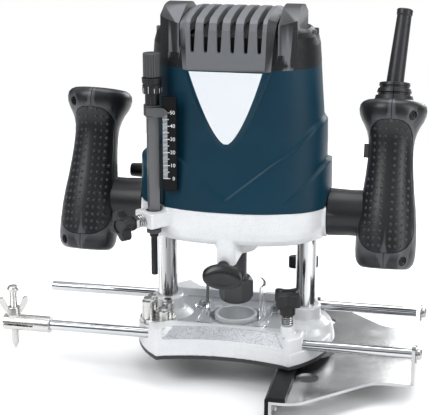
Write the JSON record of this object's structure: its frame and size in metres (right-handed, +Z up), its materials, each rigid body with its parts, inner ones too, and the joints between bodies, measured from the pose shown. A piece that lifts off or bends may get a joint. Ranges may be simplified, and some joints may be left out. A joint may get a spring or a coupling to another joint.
{
  "type": "plunge router",
  "caption": "Handheld plunge router with side handles, sprung guide columns, turret depth stop, parallel fence on guide rods and a trammel point.",
  "frame": {"origin": "on the spindle axis, in the plane of the sole plate's underside", "axes": "+Z up along the spindle towards the motor, +X towards the side the parallel fence is fitted to, +Y away from the user, who stands at -Y"},
  "size_m": [0.3321, 0.212, 0.29],
  "materials": {
    "base_paint": "fine hammered light silver paint",
    "sole": "smooth black",
    "chrome": "polished",
    "spring": "bright wire",
    "nickel": "nickel plated, satin",
    "clear": "clear plastic",
    "zinc": "zinc plated",
    "black_plastic": "fine grain black",
    "gloss_black": "smooth black",
    "bronze": "plain bronze",
    "teal": "satin dark teal",
    "label": "blank pale panel",
    "grey_plastic": "flecked grey",
    "scale_black": "black plate with white marks",
    "laminations": "bare laminated steel",
    "carbon": "carbon",
    "bearing": "ground steel with dark shields",
    "rubber": "soft black, dimpled grip",
    "dark_steel": "blackened",
    "winding": "laminated core with copper windings"
  },
  "bodies": {
    "base": {"base_casting": "base_paint", "sole_plate": "sole", "guide_columns": "chrome", "plunge_springs": "spring", "template_guide": "nickel", "chip_guard": "clear", "guard_screws": "zinc", "clamp_springs": "spring", "turret_pivot": "zinc"},
    "turret": {"turret_stop": "nickel", "turret_screws": "zinc"},
    "front_clamp": {"front_clamp_knob": "black_plastic", "front_clamp_bolt": "zinc"},
    "rear_clamp": {"rear_clamp_knob": "black_plastic", "rear_clamp_bolt": "zinc"},
    "fence": {"guide_rods": "chrome", "fence_plate": "zinc", "fence_facing": "black_plastic", "fence_screws": "zinc"},
    "trammel": {"trammel_sleeve": "nickel", "trammel_pin": "nickel"},
    "wing": {"wing_nut": "nickel"},
    "motor": {"carriage": "base_paint", "column_bushes": "bronze", "spring_guides": "zinc", "motor_housing": "teal", "label_panel": "label", "top_cap": "grey_plastic", "scale_plate": "scale_black", "stator": "laminations", "brush_holders": "bronze", "carbon_brushes": "carbon", "lower_bearing": "bearing", "upper_bearing": "bearing", "left_handle_inner": "black_plastic", "left_handle_outer": "black_plastic", "right_handle_inner": "black_plastic", "right_handle_outer": "black_plastic", "left_grip": "rubber", "right_grip": "rubber", "handle_screws": "dark_steel", "cord_collar": "rubber", "strain_relief": "rubber", "switch_module": "black_plastic", "plunge_lock_pivot": "zinc"},
    "rotor": {"spindle": "dark_steel", "armature": "winding", "fan": "black_plastic", "collet": "zinc", "collet_nut": "dark_steel"},
    "lock_button": {"spindle_lock": "gloss_black"},
    "power_switch": {"switch_button": "black_plastic"},
    "lock_lever": {"plunge_lock_lever": "black_plastic"},
    "depth_stop": {"depth_bar": "zinc", "depth_pointer": "grey_plastic", "depth_ring": "black_plastic"},
    "fine_rod": {"fine_adjust_rod": "dark_steel"},
    "fine_knob": {"fine_adjust_knob": "grey_plastic"},
    "depth_clamp": {"depth_clamp_knob": "black_plastic", "depth_clamp_bolt": "zinc"}
  },
  "joints": [
    {"name": "plunge", "type": "slide", "parent": "base", "child": "motor", "axis": [0, 0, -1], "range_m": [0, 0.031], "stiffness_N_per_m": 800, "springref_m": -0.12, "deforming": ["plunge_springs"]},
    {"name": "spindle_spin", "type": "hinge", "parent": "motor", "child": "rotor", "pos_m": [0, 0, 0.1], "axis": [0, 0, 1], "continuous": true},
    {"name": "spindle_lock_press", "type": "slide", "parent": "motor", "child": "lock_button", "axis": [0, 1, 0], "range_m": [0, 0.0035], "stiffness_N_per_m": 400, "springref_m": -0.001},
    {"name": "switch_press", "type": "slide", "parent": "motor", "child": "power_switch", "axis": [1, 0, 0], "range_m": [0, 0.003], "stiffness_N_per_m": 300, "springref_m": -0.001},
    {"name": "plunge_lock_turn", "type": "hinge", "parent": "motor", "child": "lock_lever", "pos_m": [-0.08, 0.03, 0.108], "axis": [1, 0, 0], "range_deg": [-30, 0]},
    {"name": "depth_stop_slide", "type": "slide", "parent": "motor", "child": "depth_stop", "axis": [0, 0, 1], "range_m": [-0.031, 0.004]},
    {"name": "fine_adjust_turn", "type": "hinge", "parent": "depth_stop", "child": "fine_knob", "pos_m": [-0.056, -0.041, 0.225], "axis": [0, 0, 1], "range_deg": [0, 720]},
    {"name": "fine_adjust_slide", "type": "slide", "parent": "depth_stop", "child": "fine_rod", "axis": [0, 0, 1], "range_m": [0, 0.002]},
    {"name": "depth_clamp_turn", "type": "hinge", "parent": "motor", "child": "depth_clamp", "pos_m": [-0.056, -0.041, 0.1091], "axis": [-0.6018, -0.7986, 0], "range_deg": [-180, 0]},
    {"name": "turret_turn", "type": "hinge", "parent": "base", "child": "turret", "pos_m": [-0.057, -0.029, 0.025], "axis": [0, 0, 1], "continuous": true},
    {"name": "front_clamp_turn", "type": "hinge", "parent": "base", "child": "front_clamp", "pos_m": [0.048, -0.0435, 0.05], "axis": [0, 0, 1], "range_deg": [0, 360]},
    {"name": "rear_clamp_turn", "type": "hinge", "parent": "base", "child": "rear_clamp", "pos_m": [0.048, 0.0435, 0.05], "axis": [0, 0, 1], "range_deg": [0, 360]},
    {"name": "fence_slide", "type": "slide", "parent": "base", "child": "fence", "axis": [1, 0, 0], "range_m": [-0.05, 0.035]},
    {"name": "trammel_slide", "type": "slide", "parent": "fence", "child": "trammel", "axis": [-1, 0, 0], "range_m": [0, 0.012]},
    {"name": "wing_nut_turn", "type": "hinge", "parent": "trammel", "child": "wing", "pos_m": [-0.1714, -0.0435, 0.026], "axis": [0, 0, 1], "range_deg": [0, 180]}
  ],
  "couplings": [
    {"joint": "fine_adjust_turn", "follows": "fine_adjust_slide", "rad_per_m": 6283.2}
  ]
}
